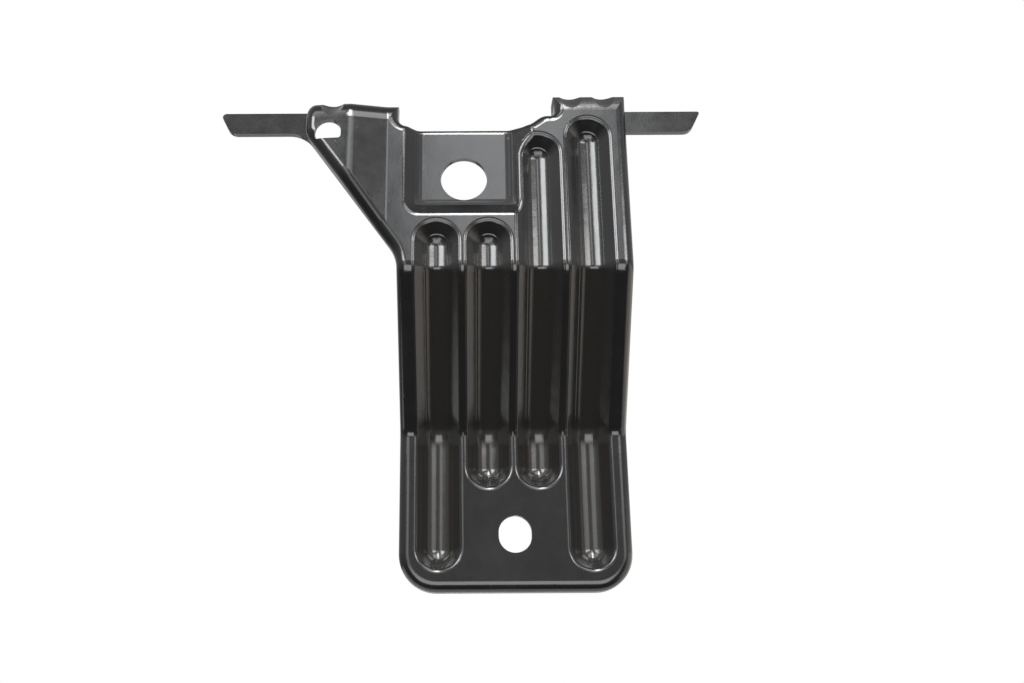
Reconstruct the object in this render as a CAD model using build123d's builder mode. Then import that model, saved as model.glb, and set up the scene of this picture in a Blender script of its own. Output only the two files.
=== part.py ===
from build123d import *
import math
import os

# Pressed steel bracket, one sheet. Millimetres, +Z up, the front faces -Y.
# The origin is the centre of the pad hole, on the front face of the recessed pad.
# The sheet is the solid under the front skin, less the solid under the rear skin.

os.makedirs("parts", exist_ok=True)

# Sheet and joggle
sheet = 2.0
pad_depth = 4.0
joggle_angle = 37.0
joggle_drop = 43.3
bend_one_z = -31.3
bottom_z = -123.8
left_x = -20.7
right_x = 51.3
lip_depth = 5.0
mass_depth = 7.0
bend_one_radius = 6.9
bend_two_radius = 4.0
roll_radius = 3.2
overlap = 1.0

# Ribs
rib_pitch = 15.8
rib_half_width = 7.0
rib_depth = 4.6
rib_wall_angle = 50.0
rib_floor_radius = 2.5
rib_lead = 0.6
rib_rim_radius = 1.85
first_rib_x = -8.5
rib_head_z = (-22.6, -22.6, 6.9, 12.5)
rib_end_z = (-110.4, -85.1, -85.1, -110.4)

# Outline
bottom_corner_radius = 11.7
hip_radius = 13.0
ear_foot_radius = 6.0
notch_radius = 3.0
shoulder_radius = 5.0
tower_foot_radius = 1.5
ear_left_x = -49.7
ear_foot_z = 14.6
hip_z = -26.3
pad_top_z = 17.8
shoulder_z = 21.2
shoulder_x = 25.0
pad_right_x = 20.5

# Ear
ear_top_z = 26.5
ear_raise = 2.3
ear_crest_x = -35.6
ear_step_x = -24.0
ear_tilt = 4.0
ear_crest_radius = 10.0
ear_step_radius = 4.0
ear_bend_radius = 7.5
ear_rear_y = 4.0
ear_base_z = -28.9

# Tower
tower_left_x = 28.8
tower_top_z = 30.0
tower_bend_radius = 8.0
tower_rear_y = 8.0

# Arms, standing out from the side lips in the plane of the lips' rear edges
arm_top_z = 22.9
arm_low_z = 15.7
left_arm_tip_x = -77.3
left_arm_root_radius = 9.0
left_arm_root_length = 7.5
right_arm_tip_x = 75.3
arm_tip_slant = 3.6
arm_tip_radius = 1.2
arm_corner_radius = 3.6

# Darts across the top bends
dart_radius = 4.6
dart_depth = 1.8
tower_dart_x = (34.2, 44.6)
ear_dart_x = -41.6

# Pad pocket
pad_half_width = 14.1
pad_floor_z = -8.1
pad_wall_angle = 43.0
pad_right_angle = 28.0
pad_foot_angle = 36.0
pad_corner_radius = 3.0
pad_floor_radius = 2.0
pad_roll_radius = 2.2

# Holes
pad_hole_radius = 7.25
low_hole_x = 15.2
low_hole_z = -106.4
low_hole_width = 10.2
low_hole_height = 11.4
ear_hole_x = -42.4
ear_hole_low_z = 11.5
ear_hole_width = 8.2
ear_hole_height = 6.5
ear_hole_corner_radius = 1.0
ear_hole_dome_radius = 4.0


def tan(angle):
    """Tangent of an angle in degrees."""
    return math.tan(math.radians(angle))


def half_tan(angle):
    """Tangent of half an angle in degrees."""
    return tan(angle / 2)


# Derived sizes
land_y = -pad_depth
lip_rear_y = land_y + lip_depth
joggle_depth = joggle_drop * tan(joggle_angle)
bend_two_z = bend_one_z - joggle_drop
half_turn = half_tan(joggle_angle)
lower_y = land_y + joggle_depth

# How far tools and unfinished blocks run past what they cut or join
above = 12.0
ring_reach = 8.0
shoulder_reach = 6.0
core_inset = sheet + 0.5
trim_inset = sheet + 0.3


def corner(points, index, radius, builder):
    """Round one corner of the sketch being built."""
    fillet(builder.vertices().sort_by_distance((*points[index], 0))[0], radius)


def joggle_line(depth, top_z, low_z):
    """Points of the joggled line a depth behind the front land, top to bottom."""
    first_y = land_y + depth
    last_y = first_y + joggle_depth
    rise = depth * half_turn
    return [(first_y, top_z), (first_y, bend_one_z + rise), (last_y, bend_two_z + rise), (last_y, low_z)]


def joggle_band(near_depth, far_depth, top_z, x_from, x_to):
    """A joggled slab between two depths, extruded across the bracket."""
    near = joggle_line(near_depth, top_z, bottom_z - above)
    far = joggle_line(far_depth, top_z, bottom_z - above)
    with BuildPart() as band:
        with BuildSketch(Plane.YZ.offset(x_from)) as side:
            Polygon(*near, *reversed(far), align=None)
            corner(near, 1, bend_one_radius - near_depth, side)
            corner(near, 2, bend_two_radius + near_depth, side)
            corner(far, 2, bend_two_radius + far_depth, side)
        extrude(amount=x_to - x_from)
    return band.part


def outline(inset):
    """The outline of the plate seen from the front, moved in by an inset."""
    points = [
        (left_x, bottom_z),
        (left_x, hip_z),
        (ear_left_x, ear_foot_z),
        (ear_left_x, ear_top_z + above),
        (left_x, ear_top_z + above),
        (left_x, pad_top_z),
        (pad_right_x, pad_top_z),
        (shoulder_x, shoulder_z),
        (tower_left_x, shoulder_z),
        (tower_left_x, tower_top_z + above),
        (right_x, tower_top_z + above),
        (right_x, bottom_z),
    ]
    with BuildSketch(Plane.XZ) as face:
        Polygon(*points, align=None)
        corner(points, 0, bottom_corner_radius, face)
        corner(points, 1, hip_radius, face)
        corner(points, 2, ear_foot_radius, face)
        corner(points, 5, notch_radius, face)
        corner(points, 6, shoulder_radius, face)
        corner(points, 7, shoulder_radius, face)
        corner(points, 8, tower_foot_radius, face)
        corner(points, 11, bottom_corner_radius, face)
        if inset:
            offset(amount=-inset)
    with BuildPart() as prism:
        extrude(face.sketch, amount=lower_y + above + ring_reach, both=True)
    return prism.part


def moved_corner(point, angle_before, angle_after, depth):
    """A corner of a plan line moved into the metal by a depth, square to both of its sides."""
    middle = math.radians((angle_before + angle_after) / 2)
    reach = depth / math.cos(math.radians((angle_after - angle_before) / 2))
    return (point[0] - reach * math.sin(middle), point[1] + reach * math.cos(middle))


def ear_block(depth, rear_y):
    """The ear's front in plan with its top bend, a depth behind the front skin."""
    slope = math.degrees(math.atan2(ear_raise, ear_step_x - ear_crest_x))
    crest = moved_corner((ear_crest_x, land_y - ear_raise), -ear_tilt, slope, depth)
    step = moved_corner((ear_step_x, land_y), slope, 0, depth)
    far_x = ear_left_x - above
    left = (far_x, crest[1] + (crest[0] - far_x) * math.tan(math.radians(ear_tilt)))
    right = (left_x + 2 * sheet, land_y + depth)
    points = [left, crest, step, right, (right[0], rear_y), (left[0], rear_y)]
    top_z = ear_top_z - depth
    with BuildPart() as block:
        with BuildSketch(Plane.XY.offset(ear_base_z)) as plan:
            Polygon(*points, align=None)
            corner(points, 1, ear_crest_radius - depth, plan)
            corner(points, 2, ear_step_radius + depth, plan)
        extrude(amount=top_z - ear_base_z)
        if depth == 0:
            with Locations(((left[0] + right[0]) / 2, ear_rear_y, top_z)):
                Box(right[0] - left[0], lip_depth, lip_depth, align=(Align.CENTER, Align.MAX, Align.MAX))
        front = []
        for edge in block.edges():
            middle = edge.center()
            at_front = middle.Y < land_y + depth + 0.01 and left[0] + 0.1 < middle.X < right[0] - 0.1
            if abs(middle.Z - top_z) < 0.001 and at_front:
                front.append(edge)
        fillet(front, ear_bend_radius - depth)
    return block.part


def tower_block(depth, rear_y, x_from, x_to):
    """The tower's side view with its top bend, a depth behind the front skin."""
    front_y = land_y + depth
    top_z = tower_top_z - depth
    under_z = top_z - lip_depth
    points = [(front_y, 0), (front_y, top_z), (rear_y, top_z)]
    if depth == 0:
        points += [(rear_y, under_z), (lip_rear_y, under_z), (lip_rear_y, 0)]
    else:
        points += [(rear_y, 0)]
    with BuildPart() as block:
        with BuildSketch(Plane.YZ.offset(x_from)) as side:
            Polygon(*points, align=None)
            corner(points, 1, tower_bend_radius - depth, side)
        extrude(amount=x_to - x_from)
    return block.part


def plate_mass(depth, far_depth, ring_depth):
    """The joggled plate, ear and tower as one solid, a depth behind the front skin."""
    past_rear = 0 if depth == 0 else overlap
    ring = joggle_band(depth, ring_depth, pad_top_z + overlap, left_x - ring_reach, right_x + overlap)
    core = joggle_band(depth, far_depth, pad_top_z + 2 * overlap, left_x + core_inset, right_x - core_inset)
    shoulder_top_z = shoulder_z + overlap / 2
    shoulder = joggle_band(depth, far_depth, shoulder_top_z, pad_right_x - shoulder_reach, tower_left_x)
    ear = ear_block(depth, lip_rear_y if depth == 0 else ear_rear_y + overlap)
    tower = tower_block(depth, tower_rear_y + past_rear, pad_right_x, right_x + overlap)
    plate_outline = outline(depth)
    with BuildPart() as mass:
        add(ring)
        add(core)
        add(shoulder)
        add(ear)
        add(tower)
        add(plate_outline, mode=Mode.INTERSECT)
        if depth == 0:
            fillet(rolled_edges(mass.part), roll_radius)
    return mass.part


def rolled_edges(mass):
    """Edges between the front skin and the sides, where the sheet is rolled back."""
    front = []
    side = []
    for face in mass.faces():
        middle = face.center()
        normal = face.normal_at(middle)
        if normal.Y < -0.01 or (normal.Z > 0.99 and middle.Z > ear_top_z - sheet - 0.1):
            front.append(face)
        elif abs(normal.Y) < 0.01:
            side.append(face)
    side_edges = [edge.center() for face in side for edge in face.edges()]
    rolled = []
    for face in front:
        for edge in face.edges():
            if min((edge.center() - middle).length for middle in side_edges) < 0.01:
                rolled.append(edge)
    return rolled


def top_corner(side_x, inwards, top_z, bend_radius, rear_y):
    """Square end of a top bend: the roll runs straight up instead of round the corner."""
    inner_x = side_x + inwards * roll_radius
    low_z = top_z - bend_radius
    side_points = [(land_y, low_z), (land_y, top_z), (rear_y, top_z), (rear_y, low_z)]
    plan_points = [(side_x, land_y), (inner_x, land_y), (inner_x, rear_y), (side_x, rear_y)]
    with BuildPart() as piece:
        with BuildSketch(Plane.YZ.offset(min(side_x, inner_x))) as profile:
            Polygon(*side_points, align=None)
            corner(side_points, 1, bend_radius, profile)
        extrude(amount=roll_radius)
        with BuildSketch(Plane.XY.offset(low_z)) as plan:
            Polygon(*plan_points, align=None)
            corner(plan_points, 0, roll_radius - 0.001, plan)
        extrude(amount=bend_radius, mode=Mode.INTERSECT)
    return piece.part


def rib_section(plane, depth, whole):
    """Section of a rib tool on a plane square to the rib, grown by a depth."""
    floor_half = rib_half_width - rib_depth / tan(rib_wall_angle) + depth * half_tan(rib_wall_angle)
    floor_y = rib_depth + depth
    top_half = floor_half + (floor_y + rib_lead) / tan(rib_wall_angle)
    near = -top_half if whole else 0
    near_floor = -floor_half if whole else 0
    points = [(near, -rib_lead), (near_floor, floor_y), (floor_half, floor_y), (top_half, -rib_lead)]
    with BuildSketch(plane) as section:
        Polygon(*points, align=None)
        corner(points, 2, rib_floor_radius + depth, section)
        if whole:
            corner(points, 1, rib_floor_radius + depth, section)
    return section.sketch


def rib_tool(x, head_z, end_z, depth):
    """The tool that presses one rib down the joggle, grown by a depth."""
    upper_end = bend_one_z + bend_one_radius * half_turn
    lower_start = bend_two_z - bend_two_radius * half_turn
    turn = math.radians(joggle_angle)
    down = Vector(0, math.sin(turn), -math.cos(turn))
    slope_start = Vector(x, land_y, bend_one_z) + down * bend_one_radius * half_turn
    slope_length = joggle_drop / math.cos(turn) - (bend_one_radius + bend_two_radius) * half_turn
    upper_plane = Plane(origin=(x, land_y, upper_end), x_dir=(1, 0, 0), z_dir=(0, 0, 1))
    slope_plane = Plane(origin=slope_start, x_dir=(1, 0, 0), z_dir=-down)
    lower_plane = Plane(origin=(x, lower_y, lower_start), x_dir=(1, 0, 0), z_dir=(0, 0, 1))
    head_plane = Plane(origin=(x, land_y, head_z), x_dir=(1, 0, 0), z_dir=(0, 0, 1))
    end_plane = Plane(origin=(x, lower_y, end_z), x_dir=(1, 0, 0), z_dir=(0, 0, 1))
    bend_one_axis = Axis((x, land_y + bend_one_radius, upper_end), (1, 0, 0))
    bend_two_axis = Axis((x, lower_y - bend_two_radius, lower_start), (1, 0, 0))
    with BuildPart() as tool:
        extrude(rib_section(upper_plane, depth, True), amount=head_z - upper_end)
        revolve(rib_section(upper_plane, depth, True), axis=bend_one_axis, revolution_arc=joggle_angle)
        extrude(rib_section(slope_plane, depth, True), amount=-slope_length)
        revolve(rib_section(lower_plane, depth, True), axis=bend_two_axis, revolution_arc=joggle_angle)
        extrude(rib_section(lower_plane, depth, True), amount=end_z - lower_start)
        head_axis = Axis((x, 0, head_z), (0, 1, 0))
        end_axis = Axis((x, 0, end_z), (0, 1, 0))
        revolve(rib_section(head_plane, depth, False), axis=head_axis, revolution_arc=-180)
        revolve(rib_section(end_plane, depth, False), axis=end_axis, revolution_arc=180)
    return tool.part


def pad_tool(depth):
    """The tool that presses the recessed pad, open at the top, grown by a depth."""
    floor_y = depth
    face_y = land_y - rib_lead
    rise = floor_y - face_y
    levels = []
    for y, out in ((floor_y, 0), (face_y, rise)):
        left = -pad_half_width - depth * half_tan(pad_wall_angle) - out / tan(pad_wall_angle)
        right = pad_half_width + depth * half_tan(pad_right_angle) + out / tan(pad_right_angle)
        low = pad_floor_z - depth * half_tan(pad_foot_angle) - out / tan(pad_foot_angle)
        top = pad_top_z + above
        points = [(left, top), (left, low), (right, low), (right, top)]
        radius = pad_corner_radius + depth / 2 + out / 3
        with BuildSketch(Plane(origin=(0, y, 0), x_dir=(1, 0, 0), z_dir=(0, -1, 0))) as level:
            Polygon(*points, align=None)
            corner(points, 1, radius, level)
            corner(points, 2, radius, level)
        levels.append(level.sketch)
    with BuildPart() as tool:
        loft(levels, ruled=True)
    return tool.part


def dart_tool(x, front_y, top_z, bend_radius, depth):
    """The tool that presses one dart across a top bend, grown by a depth."""
    reach = (bend_radius - dart_depth + dart_radius) * math.sqrt(0.5)
    middle = (x, front_y + bend_radius - reach, top_z - bend_radius + reach)
    with BuildPart() as tool:
        with BuildSketch(Plane(origin=middle, x_dir=(1, 0, 0), z_dir=(0, 1, 1))):
            Circle(dart_radius + depth)
        extrude(amount=above, both=True)
    return tool.part


def arm(points, radii):
    """One arm, its rear face level with the rear edges of the side lips."""
    with BuildPart() as tab:
        with BuildSketch(Plane.XZ.offset(-lip_rear_y)) as face:
            Polygon(*points, align=None)
            for index, radius in radii:
                corner(points, index, radius, face)
        extrude(amount=sheet)
    return tab.part


def creases(mass, low, high):
    """Edges of a solid where two faces meet at more than a low and less than a high angle."""
    table = {}
    for face in mass.faces():
        for edge in face.edges():
            middle = edge @ 0.5
            key = (round(middle.X, 2), round(middle.Y, 2), round(middle.Z, 2))
            table.setdefault(key, []).append((edge, face))
    found = []
    for pair in table.values():
        if len(pair) == 2:
            middle = pair[0][0] @ 0.5
            first = pair[0][1].normal_at(middle)
            second = pair[1][1].normal_at(middle)
            if low < first.get_angle(second) < high:
                found.append(pair[0][0])
    return found


def pressed(depth, far_depth, ring_depth):
    """One skin of the sheet as a solid with its ribs, darts and pad pressed in."""
    plate = plate_mass(depth, far_depth, ring_depth)
    corners = []
    if depth == 0:
        corners.append(top_corner(tower_left_x, 1, tower_top_z, tower_bend_radius, tower_rear_y))
        corners.append(top_corner(right_x, -1, tower_top_z, tower_bend_radius, tower_rear_y))
        corners.append(top_corner(left_x, -1, ear_top_z, ear_bend_radius, ear_rear_y))
    tools = []
    for index, (head_z, end_z) in enumerate(zip(rib_head_z, rib_end_z)):
        tools.append(rib_tool(first_rib_x + index * rib_pitch, head_z, end_z, depth))
    tools.append(pad_tool(depth))
    for x in tower_dart_x:
        tools.append(dart_tool(x, land_y, tower_top_z, tower_bend_radius, depth))
    ear_y = land_y - ear_raise + (ear_crest_x - ear_dart_x) * tan(ear_tilt)
    tools.append(dart_tool(ear_dart_x, ear_y, ear_top_z, ear_bend_radius, depth))
    with BuildPart() as mass:
        add(plate)
        for piece in corners:
            add(piece)
        for tool in tools:
            add(tool, mode=Mode.SUBTRACT)

        # On the front skin the pad's floor corners, its top edge and rims, and the ribs' rims are rounded
        if depth == 0:
            floor = []
            for edge in creases(mass.part, 20, 60):
                middle = edge @ 0.5
                near_hole = abs(middle.X) < pad_half_width + overlap and middle.Z > pad_floor_z - 2 * overlap
                if near_hole and abs(middle.Y) < 0.01:
                    floor.append(edge)
            fillet(floor, pad_floor_radius)
            top_edge = mass.edges().filter_by(Axis.X).sort_by_distance((0, 0, pad_top_z))[0]
            fillet(top_edge, pad_roll_radius)
            rims = []
            for edge in creases(mass.part, 40, 60):
                middle = edge @ 0.5
                beside = first_rib_x - rib_half_width - 0.1 < middle.X < right_x - lip_depth
                if beside and abs(middle.Y - land_line(middle.Z)) < rib_lead:
                    rims.append(edge)
            fillet(rims, rib_rim_radius)
    return mass.part


def land_line(z):
    """Y of the front land at a height, with its bends left sharp."""
    return land_y + min(max(bend_one_z - z, 0), joggle_drop) * tan(joggle_angle)


slope = Vector(left_x - ear_left_x, hip_z - ear_foot_z).normalized()
foot = Vector(ear_left_x, ear_foot_z)
root_start = foot + slope * ((arm_low_z - ear_foot_z) / slope.Y)
root_end = foot + slope * left_arm_root_length
left_arm_points = [
    (left_arm_tip_x, arm_top_z),
    (ear_left_x + overlap, arm_top_z),
    (ear_left_x + overlap, ear_foot_z),
    (root_end.X + overlap, root_end.Y),
    (root_end.X, root_end.Y),
    (root_start.X, root_start.Y),
    (left_arm_tip_x + arm_tip_slant, arm_low_z),
]
right_arm_points = [
    (right_x - overlap, arm_low_z),
    (right_arm_tip_x - arm_tip_slant, arm_low_z),
    (right_arm_tip_x, arm_top_z),
    (right_x - overlap, arm_top_z),
]
left_arm = arm(left_arm_points, [(0, arm_tip_radius), (5, left_arm_root_radius), (6, arm_corner_radius)])
right_arm = arm(right_arm_points, [(1, arm_corner_radius), (2, arm_tip_radius / 2)])

# What is cut off the bottom lip, so that it is as deep as the side lips
inner_outline = outline(trim_inset)
with BuildPart() as lip_trim:
    with Locations(((left_x + right_x) / 2, lower_y + lip_depth, bottom_z - overlap)):
        Box(right_x - left_x, above, bottom_corner_radius + sheet, align=(Align.CENTER, Align.MIN, Align.MIN))
    add(inner_outline, mode=Mode.SUBTRACT)

front_skin = pressed(0, mass_depth, lip_depth)
rear_skin = pressed(sheet, mass_depth + sheet, mass_depth + sheet)

with BuildPart() as bracket:
    add(front_skin)
    add(rear_skin, mode=Mode.SUBTRACT)
    add(lip_trim.part, mode=Mode.SUBTRACT)
    add(left_arm)
    add(right_arm)

    # Pad hole and the oblong hole low in the plate
    with BuildSketch(Plane.XZ):
        Circle(pad_hole_radius)
    extrude(amount=above, both=True, mode=Mode.SUBTRACT)
    with BuildSketch(Plane.XZ.offset(-lower_y)):
        with Locations((low_hole_x, low_hole_z)):
            SlotOverall(low_hole_height, low_hole_width, rotation=90)
    extrude(amount=above, both=True, mode=Mode.SUBTRACT)

    # Hole with a flat lower side in the ear
    with BuildSketch(Plane.XZ) as ear_hole:
        with Locations((ear_hole_x, ear_hole_low_z + ear_hole_height / 2)):
            Rectangle(ear_hole_width, ear_hole_height)
        fillet(ear_hole.vertices().group_by(Axis.Y)[-1], ear_hole_dome_radius)
        fillet(ear_hole.vertices().group_by(Axis.Y)[0], ear_hole_corner_radius)
    extrude(amount=above, both=True, mode=Mode.SUBTRACT)

bracket.part.label = "bracket"
export_step(bracket.part, "parts/bracket.step")
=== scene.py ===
import math

import bpy
from mathutils import Matrix

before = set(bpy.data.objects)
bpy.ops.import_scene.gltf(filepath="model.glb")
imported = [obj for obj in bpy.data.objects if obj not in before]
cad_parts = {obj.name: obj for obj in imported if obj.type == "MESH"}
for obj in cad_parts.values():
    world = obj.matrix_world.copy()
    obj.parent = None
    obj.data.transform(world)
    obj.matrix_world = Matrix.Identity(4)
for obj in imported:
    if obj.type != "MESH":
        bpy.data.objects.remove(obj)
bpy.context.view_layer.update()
print("bracket loaded")


# small helpers for node trees; place is where a node stands in the editor

def addNode(tree, kind, place, **values):
    node = tree.nodes.new(kind)
    node.location = place
    for key, value in values.items():
        if hasattr(node, key):
            setattr(node, key, value)
        else:
            node.inputs[key].default_value = value
    return node


def plug(tree, value, socket):
    if isinstance(value, bpy.types.NodeSocket):
        tree.links.new(value, socket)
    else:
        socket.default_value = value


def combine(tree, operation, first, second, place):
    node = addNode(tree, "ShaderNodeMath", place, operation=operation)
    plug(tree, first, node.inputs[0])
    plug(tree, second, node.inputs[1])
    return node.outputs[0]


def change(tree, operation, value, place):
    node = addNode(tree, "ShaderNodeMath", place, operation=operation)
    plug(tree, value, node.inputs[0])
    return node.outputs[0]


def remap(tree, value, old, new, place, interpolation="LINEAR"):
    node = addNode(tree, "ShaderNodeMapRange", place, interpolation_type=interpolation)
    for name, number in zip(("From Min", "From Max", "To Min", "To Max"), (*old, *new)):
        node.inputs[name].default_value = number
    tree.links.new(value, node.inputs["Value"])
    return node.outputs["Result"]


def step(tree, value, limits, place):
    return remap(tree, value, limits, (0.0, 1.0), place, "SMOOTHSTEP")


def ramp(tree, value, stops, place):
    node = addNode(tree, "ShaderNodeValToRGB", place)
    elements = node.color_ramp.elements
    while len(elements) < len(stops):
        elements.new(0.5)
    for element, (position, grey) in zip(elements, stops):
        element.position = position
        element.color = (grey, grey, grey, 1)
    tree.links.new(value, node.inputs["Fac"])
    return node.outputs["Color"]


def mix(tree, kind, factor, first, second, place):
    node = addNode(tree, "ShaderNodeMix", place, data_type=kind)
    plug(tree, first, node.inputs["A"])
    plug(tree, second, node.inputs["B"])
    tree.links.new(factor, node.inputs["Factor"])
    return node.outputs["Result"]


def addNoise(tree, vector, place, **values):
    node = addNode(tree, "ShaderNodeTexNoise", place, **values)
    tree.links.new(vector, node.inputs["Vector"])
    return node.outputs["Fac"]


def addBump(tree, height, under, strength, depth, place):
    node = addNode(tree, "ShaderNodeBump", place, Strength=strength, Distance=depth)
    tree.links.new(height, node.inputs["Height"])
    if under is not None:
        tree.links.new(under, node.inputs["Normal"])
    return node.outputs["Normal"]


# black paint, baked on over pressed sheet

paint = {
    "colour": (0.0072, 0.0070, 0.0074),
    "ior": 1.5,
    "coat": 0.04,
    "coatRoughness": 0.09,
    "roughness": (0.135, 0.185),    # gloss varies with handling
    "smearScale": 210.0,
    "smearRange": (0.35, 0.68),
    "peelScale": 1150.0,            # orange peel, bumps about a millimetre apart
    "peelStrength": 0.05,
    "peelDepth": 0.0002,
    "waveScale": 95.0,              # slow unevenness of the sheet
    "waveStrength": 0.09,
    "waveDepth": 0.001,
}

# pale dust: rare specks, and a thin film where the cloud is dense
dust = {
    "colour": (0.085, 0.080, 0.074),
    "speckScale": 330.0,
    "speckSize": [(0.0, 1.0), (0.10, 1.0), (0.16, 0.0)],
    "speckShare": [(0.0, 0.0), (0.84, 0.0), (0.90, 0.8)],
    "cloudScale": 60.0,
    "cloudFilm": [(0.0, 0.0), (0.48, 0.0), (0.75, 0.05)],
}

# a soft relief rounds the grooves' floors and walls, which the mesh already has
grooves = {
    # middle lines: x, lowest z and highest z
    "lines": [(-0.0085, -0.1104, -0.0226), (0.0073, -0.0851, -0.0226),
              (0.0231, -0.0851, 0.0069), (0.0389, -0.1104, 0.0125)],
    "floorHalf": 0.0036,
    "floorSlope": 0.30,
    "wallTop": 0.0070,
    "wallSlope": 0.33,
    "wallFade": (-0.0785, -0.0700),      # the walls have no relief below this
    "dustFilmAndPaintedReflection": (0.012, 0.0113, 0.0104),     # painted reflection: a lighter, warmer colour in the grooves in place of warm light reflected off their walls
    "paintedReflectionEdge": (0.0072, 0.0056),
    "paintedReflectionHeight": (-0.020, -0.034),      # the painted reflection grows stronger downwards here
    "paintedReflectionShare": (0.25, 1.0),
}

# duller lines in the corners of the pad's floor, and dull turned top edges
dullPlaces = {
    "roughness": 0.90,
    "padHalf": 0.0141,
    "padFoot": -0.0081,
    "padTop": (0.0165, 0.0155),
    "lineEdge": (0.0014, 0.0009),
    "topEdges": (0.0240, 0.0262),
    "topShare": 0.5,
}


# distance of a point from the nearest groove's middle line, seen from the front
def grooveDistance(tree, across, up):
    nearest = None
    for index, (middle, low, high) in enumerate(grooves["lines"]):
        y = -900 - index * 450
        side = combine(tree, "SUBTRACT", across, middle, (-2400, y))
        above = combine(tree, "SUBTRACT", up, high, (-2400, y - 150))
        below = combine(tree, "SUBTRACT", low, up, (-2400, y - 300))
        beyond = combine(tree, "MAXIMUM", above, below, (-2200, y - 200))
        beyond = combine(tree, "MAXIMUM", beyond, 0.0, (-2050, y - 200))
        sideSquare = combine(tree, "MULTIPLY", side, side, (-2050, y))
        beyondSquare = combine(tree, "MULTIPLY", beyond, beyond, (-1900, y - 200))
        square = combine(tree, "ADD", sideSquare, beyondSquare, (-1750, y))
        if nearest is None:
            nearest = square
        else:
            nearest = combine(tree, "MINIMUM", nearest, square, (-1550, y))
    return change(tree, "SQRT", nearest, (-1400, -1200))


# height of the relief: a cosine bowl over the floor, a straight slope up the wall
def grooveRelief(tree, distance, up):
    half, top = grooves["floorHalf"], grooves["wallTop"]
    angle = combine(tree, "MINIMUM", distance, half, (-1200, -1200))
    angle = combine(tree, "MULTIPLY", angle, math.pi / half, (-1050, -1200))
    bowl = change(tree, "COSINE", angle, (-900, -1200))
    bowlDepth = -grooves["floorSlope"] * half / math.pi
    bowl = combine(tree, "MULTIPLY", bowl, bowlDepth, (-750, -1200))
    inward = combine(tree, "MAXIMUM", distance, half, (-1200, -1350))
    inward = combine(tree, "MINIMUM", inward, top, (-1050, -1350))
    wall = combine(tree, "SUBTRACT", top, inward, (-900, -1350))
    fade = step(tree, up, grooves["wallFade"], (-900, -1450))
    wall = combine(tree, "MULTIPLY", wall, fade, (-750, -1350))
    wall = combine(tree, "MULTIPLY", wall, grooves["wallSlope"], (-600, -1350))
    return combine(tree, "ADD", bowl, wall, (-450, -1200))


def paintColour(tree, place, distance, up):
    specks = addNode(tree, "ShaderNodeTexVoronoi", (-1200, 600), Scale=dust["speckScale"])
    tree.links.new(place, specks.inputs["Vector"])
    size = ramp(tree, specks.outputs["Distance"], dust["speckSize"], (-900, 600))
    share = ramp(tree, specks.outputs["Color"], dust["speckShare"], (-900, 850))
    speck = combine(tree, "MULTIPLY", size, share, (-600, 700))
    cloud = addNoise(tree, place, (-1200, 300),
                     Scale=dust["cloudScale"], Detail=5.0, Roughness=0.6)
    dustFilmAndPaintedReflection = ramp(tree, cloud, dust["cloudFilm"], (-900, 300))
    amount = combine(tree, "MAXIMUM", speck, dustFilmAndPaintedReflection, (-300, 500))
    colour = mix(tree, "RGBA", amount, (*paint["colour"], 1), (*dust["colour"], 1), (0, 400))

    # painted reflection: the grooves get a lighter, warmer colour, stronger lower down, in
    # place of warm light reflected off their walls
    inside = step(tree, distance, grooves["paintedReflectionEdge"], (-300, 900))
    lower = remap(tree, up, grooves["paintedReflectionHeight"], grooves["paintedReflectionShare"], (-300, 1150))
    dustFilmAndPaintedReflection = combine(tree, "MULTIPLY", inside, lower, (0, 900))
    return mix(tree, "RGBA", dustFilmAndPaintedReflection, colour, (*grooves["dustFilmAndPaintedReflection"], 1), (250, 500))


def paintRoughness(tree, place, across, up):
    smear = addNoise(tree, place, (-1200, 0),
                     Scale=paint["smearScale"], Detail=4.0, Roughness=0.65)
    gloss = remap(tree, smear, paint["smearRange"], paint["roughness"], (-300, 0))

    sideways = change(tree, "ABSOLUTE", across, (-900, -150))
    sideways = combine(tree, "SUBTRACT", sideways, dullPlaces["padHalf"], (-750, -150))
    under = combine(tree, "SUBTRACT", dullPlaces["padFoot"], up, (-750, -300))
    border = combine(tree, "MAXIMUM", sideways, under, (-600, -200))
    border = change(tree, "ABSOLUTE", border, (-450, -200))
    line = step(tree, border, dullPlaces["lineEdge"], (-300, -200))
    onPad = step(tree, up, dullPlaces["padTop"], (-300, -350))
    corners = combine(tree, "MULTIPLY", line, onPad, (-150, -200))
    top = step(tree, up, dullPlaces["topEdges"], (-300, -500))
    top = combine(tree, "MULTIPLY", top, dullPlaces["topShare"], (-150, -500))
    dull = combine(tree, "MAXIMUM", top, corners, (100, -300))
    return mix(tree, "FLOAT", dull, gloss, dullPlaces["roughness"], (300, -100))


def paintNormal(tree, place, distance, up):
    wave = addNoise(tree, place, (-1200, -600),
                    Scale=paint["waveScale"], Detail=2.0, Roughness=0.45)
    peel = addNoise(tree, place, (-1200, -300),
                    Scale=paint["peelScale"], Detail=2.0, Roughness=0.5)
    normal = addBump(tree, grooveRelief(tree, distance, up), None, 1.0, 1.0, (-250, -600))
    normal = addBump(tree, wave, normal,
                     paint["waveStrength"], paint["waveDepth"], (0, -500))
    return addBump(tree, peel, normal,
                   paint["peelStrength"], paint["peelDepth"], (300, -400))


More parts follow.
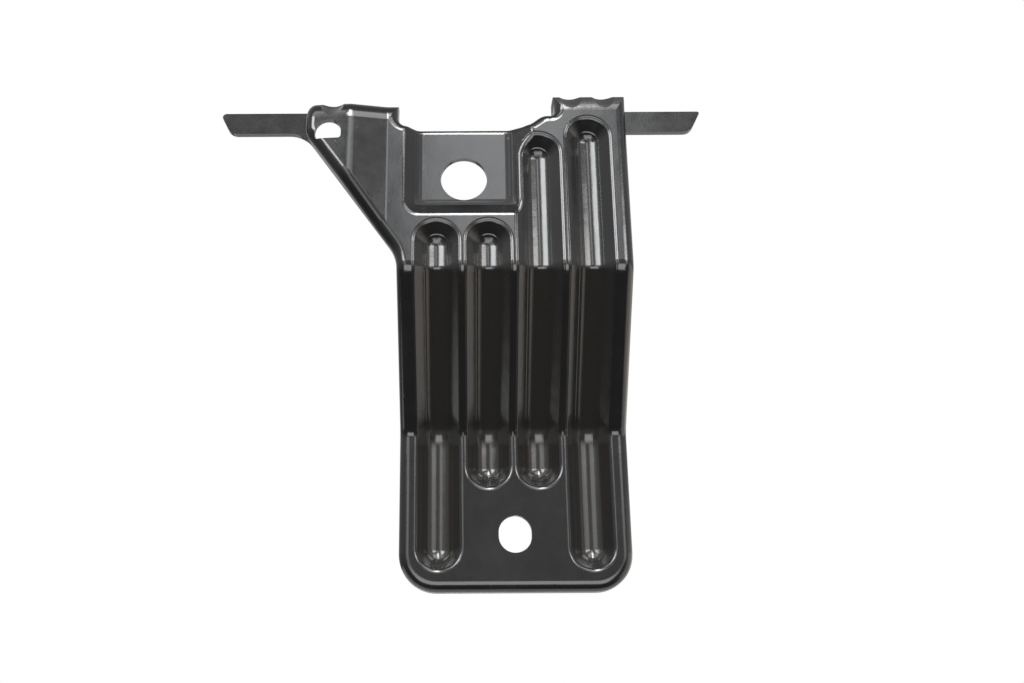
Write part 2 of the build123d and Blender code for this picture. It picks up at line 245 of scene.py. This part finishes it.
def makePaint():
    material = bpy.data.materials.new("blackPaint")
    material.use_nodes = True
    tree = material.node_tree
    tree.nodes.clear()
    output = addNode(tree, "ShaderNodeOutputMaterial", (900, 0))
    shader = addNode(tree, "ShaderNodeBsdfPrincipled", (600, 0))
    shader.inputs["Coat Weight"].default_value = paint["coat"]
    shader.inputs["Coat Roughness"].default_value = paint["coatRoughness"]
    shader.inputs["IOR"].default_value = paint["ior"]
    tree.links.new(shader.outputs["BSDF"], output.inputs["Surface"])

    place = addNode(tree, "ShaderNodeTexCoord", (-2800, 0)).outputs["Object"]
    split = addNode(tree, "ShaderNodeSeparateXYZ", (-2600, -900))
    tree.links.new(place, split.inputs["Vector"])
    across, up = split.outputs["X"], split.outputs["Z"]
    distance = grooveDistance(tree, across, up)
    tree.links.new(paintColour(tree, place, distance, up), shader.inputs["Base Color"])
    tree.links.new(paintRoughness(tree, place, across, up), shader.inputs["Roughness"])
    tree.links.new(paintNormal(tree, place, distance, up), shader.inputs["Normal"])
    return material


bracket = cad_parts["bracket"]
bracket.data.materials.clear()
bracket.data.materials.append(makePaint())
print("paint on")


# floor and room: the room's soft light comes from bands on its walls

studio = {
    "floorColour": (0.80, 0.80, 0.80),
    "floorRoughness": 0.9,
    "floorSize": (1.6, 1.2),
    "floorHeight": -0.30,
    "floorFront": 0.02,
    # plain light by height, from straight down (0) to straight up (1)
    "plain": [(0.0, 0.05), (0.36, 0.07), (0.50, 0.35), (0.60, 0.50),
              (0.68, 0.75), (0.80, 0.6), (0.92, 0.4), (0.99, 0.2)],
}

paleBlue = (0.94, 0.98, 1.0)
daylight = (0.95, 0.98, 1.0)
warmDaylight = (1.0, 0.98, 0.95)
lampWhite = (1.0, 1.0, 1.0)
wallWarm = (1.0, 0.92, 0.82)

# azimuth in degrees from the front, right positive; height from -1, straight down, to 1,
# straight up; edge and heightEdge are how wide the soft edges are
softboxes = [
    # pale wall in front
    {"azimuth": (-3, 9), "edge": 7, "height": (0.35, 0.58), "heightEdge": 0.09,
     "strength": 4.3, "tint": paleBlue},
    # window to the left, and its low part
    {"azimuth": (-44, -21), "edge": 7, "height": (0.29, 0.58), "heightEdge": 0.06,
     "strength": 15.0, "tint": daylight},
    {"azimuth": (-30, -12), "edge": 7, "height": (0.02, 0.28), "heightEdge": 0.10,
     "strength": 2.4, "tint": daylight},
    # window to the right, and its low part
    {"azimuth": (20, 42), "edge": 7, "height": (0.27, 0.41), "heightEdge": 0.05,
     "strength": 14.0, "tint": warmDaylight},
    {"azimuth": (22, 42), "edge": 7, "height": (0.0, 0.26), "heightEdge": 0.08,
     "strength": 2.2, "tint": warmDaylight},
    # lamp low in front
    {"azimuth": (-30, 24), "edge": 8, "height": (-0.52, -0.05), "heightEdge": 0.12,
     "strength": 5.0, "tint": lampWhite},
    # softbox overhead, and a dimmer one at each side of it
    {"azimuth": (-5, 7), "edge": 6, "height": (0.60, 0.92), "heightEdge": 0.06,
     "strength": 32.0, "tint": lampWhite},
    {"azimuth": (11, 44), "edge": 8, "height": (0.58, 0.88), "heightEdge": 0.08,
     "strength": 5.0, "tint": lampWhite},
    {"azimuth": (-44, -18), "edge": 8, "height": (0.58, 0.88), "heightEdge": 0.08,
     "strength": 3.5, "tint": lampWhite},
    # warm wall at the right
    {"azimuth": (62, 150), "edge": 15, "height": (-0.60, 0.12), "heightEdge": 0.20,
     "strength": 1.5, "tint": wallWarm},
]


def makeFloor():
    material = bpy.data.materials.new("paleFloor")
    material.use_nodes = True
    shader = material.node_tree.nodes["Principled BSDF"]
    shader.inputs["Base Color"].default_value = (*studio["floorColour"], 1)
    shader.inputs["Roughness"].default_value = studio["floorRoughness"]
    width, depth = studio["floorSize"]
    middle = (0, studio["floorFront"] + depth / 2, studio["floorHeight"])
    bpy.ops.mesh.primitive_plane_add(size=1, location=middle)
    floor = bpy.context.object
    floor.name = "floor"
    floor.scale = (width, depth, 1)
    floor.data.materials.append(material)


# 1 between the limits, falling softly to 0 outside them
def window(tree, value, limits, edge, x, y):
    low, high = limits
    rise = step(tree, value, (low - edge / 2, low + edge / 2), (x, y))
    fall = step(tree, value, (high + edge / 2, high - edge / 2), (x, y - 180))
    return combine(tree, "MULTIPLY", rise, fall, (x + 200, y))


def softboxGlow(tree, azimuth, up, box, y):
    limits = [math.radians(angle) for angle in box["azimuth"]]
    across = window(tree, azimuth, limits, math.radians(box["edge"]), -900, y)
    along = window(tree, up, box["height"], box["heightEdge"], -400, y)
    shape = combine(tree, "MULTIPLY", across, along, (-100, y))
    shape = combine(tree, "MULTIPLY", shape, box["strength"], (100, y))
    glow = addNode(tree, "ShaderNodeVectorMath", (300, y), operation="SCALE")
    glow.inputs[0].default_value = box["tint"]
    tree.links.new(shape, glow.inputs["Scale"])
    return glow.outputs["Vector"]


# the camera sees plain white; everything else sees the room
def makeRoom():
    world = bpy.data.worlds.new("room")
    bpy.context.scene.world = world
    world.use_nodes = True
    tree = world.node_tree
    tree.nodes.clear()
    output = addNode(tree, "ShaderNodeOutputWorld", (1500, 0))
    seen = addNode(tree, "ShaderNodeBackground", (1000, 200), Color=(1, 1, 1, 1), Strength=1.0)
    room = addNode(tree, "ShaderNodeBackground", (1000, -100), Strength=1.0)
    choose = addNode(tree, "ShaderNodeMixShader", (1250, 0))
    path = addNode(tree, "ShaderNodeLightPath", (1000, 600))
    direction = addNode(tree, "ShaderNodeTexCoord", (-1800, 0)).outputs["Generated"]
    split = addNode(tree, "ShaderNodeSeparateXYZ", (-1600, 0))
    tree.links.new(direction, split.inputs["Vector"])
    right, back, up = split.outputs["X"], split.outputs["Y"], split.outputs["Z"]
    front = combine(tree, "MULTIPLY", back, -1.0, (-1400, -200))
    azimuth = combine(tree, "ARCTAN2", right, front, (-1200, -200))

    height = remap(tree, up, (-1.0, 1.0), (0.0, 1.0), (-900, 500))
    total = ramp(tree, height, studio["plain"], (-650, 500))
    for index, box in enumerate(softboxes):
        y = 200 - index * 450
        add = addNode(tree, "ShaderNodeVectorMath", (500, y), operation="ADD")
        tree.links.new(total, add.inputs[0])
        tree.links.new(softboxGlow(tree, azimuth, up, box, y), add.inputs[1])
        total = add.outputs["Vector"]
    tree.links.new(total, room.inputs["Color"])
    tree.links.new(path.outputs["Is Camera Ray"], choose.inputs["Fac"])
    tree.links.new(room.outputs["Background"], choose.inputs[1])
    tree.links.new(seen.outputs["Background"], choose.inputs[2])
    tree.links.new(choose.outputs["Shader"], output.inputs["Surface"])


makeFloor()
makeRoom()
print("studio ready")


# camera at the photograph's angle

camera = {
    "place": (-0.0015, -0.3008, -0.1532),
    "lens": 37.5,
    "sensor": 36,
    "pitchUp": 18.2,
    "roll": -0.3,
    "shift": (0.0508, 0.0024),
    "clipStart": 0.005,
}


def makeCamera():
    data = bpy.data.cameras.new("camera")
    data.lens = camera["lens"]
    data.sensor_width = camera["sensor"]
    data.shift_x, data.shift_y = camera["shift"]
    data.clip_start = camera["clipStart"]
    body = bpy.data.objects.new("camera", data)
    bpy.context.collection.objects.link(body)
    tilt = Matrix.Rotation(math.radians(90 + camera["pitchUp"]), 4, "X")
    roll = Matrix.Rotation(math.radians(camera["roll"]), 4, "Z")
    body.matrix_world = Matrix.Translation(camera["place"]) @ tilt @ roll
    bpy.context.scene.camera = body


makeCamera()
bpy.context.scene.view_settings.view_transform = "Standard"
print("camera set")
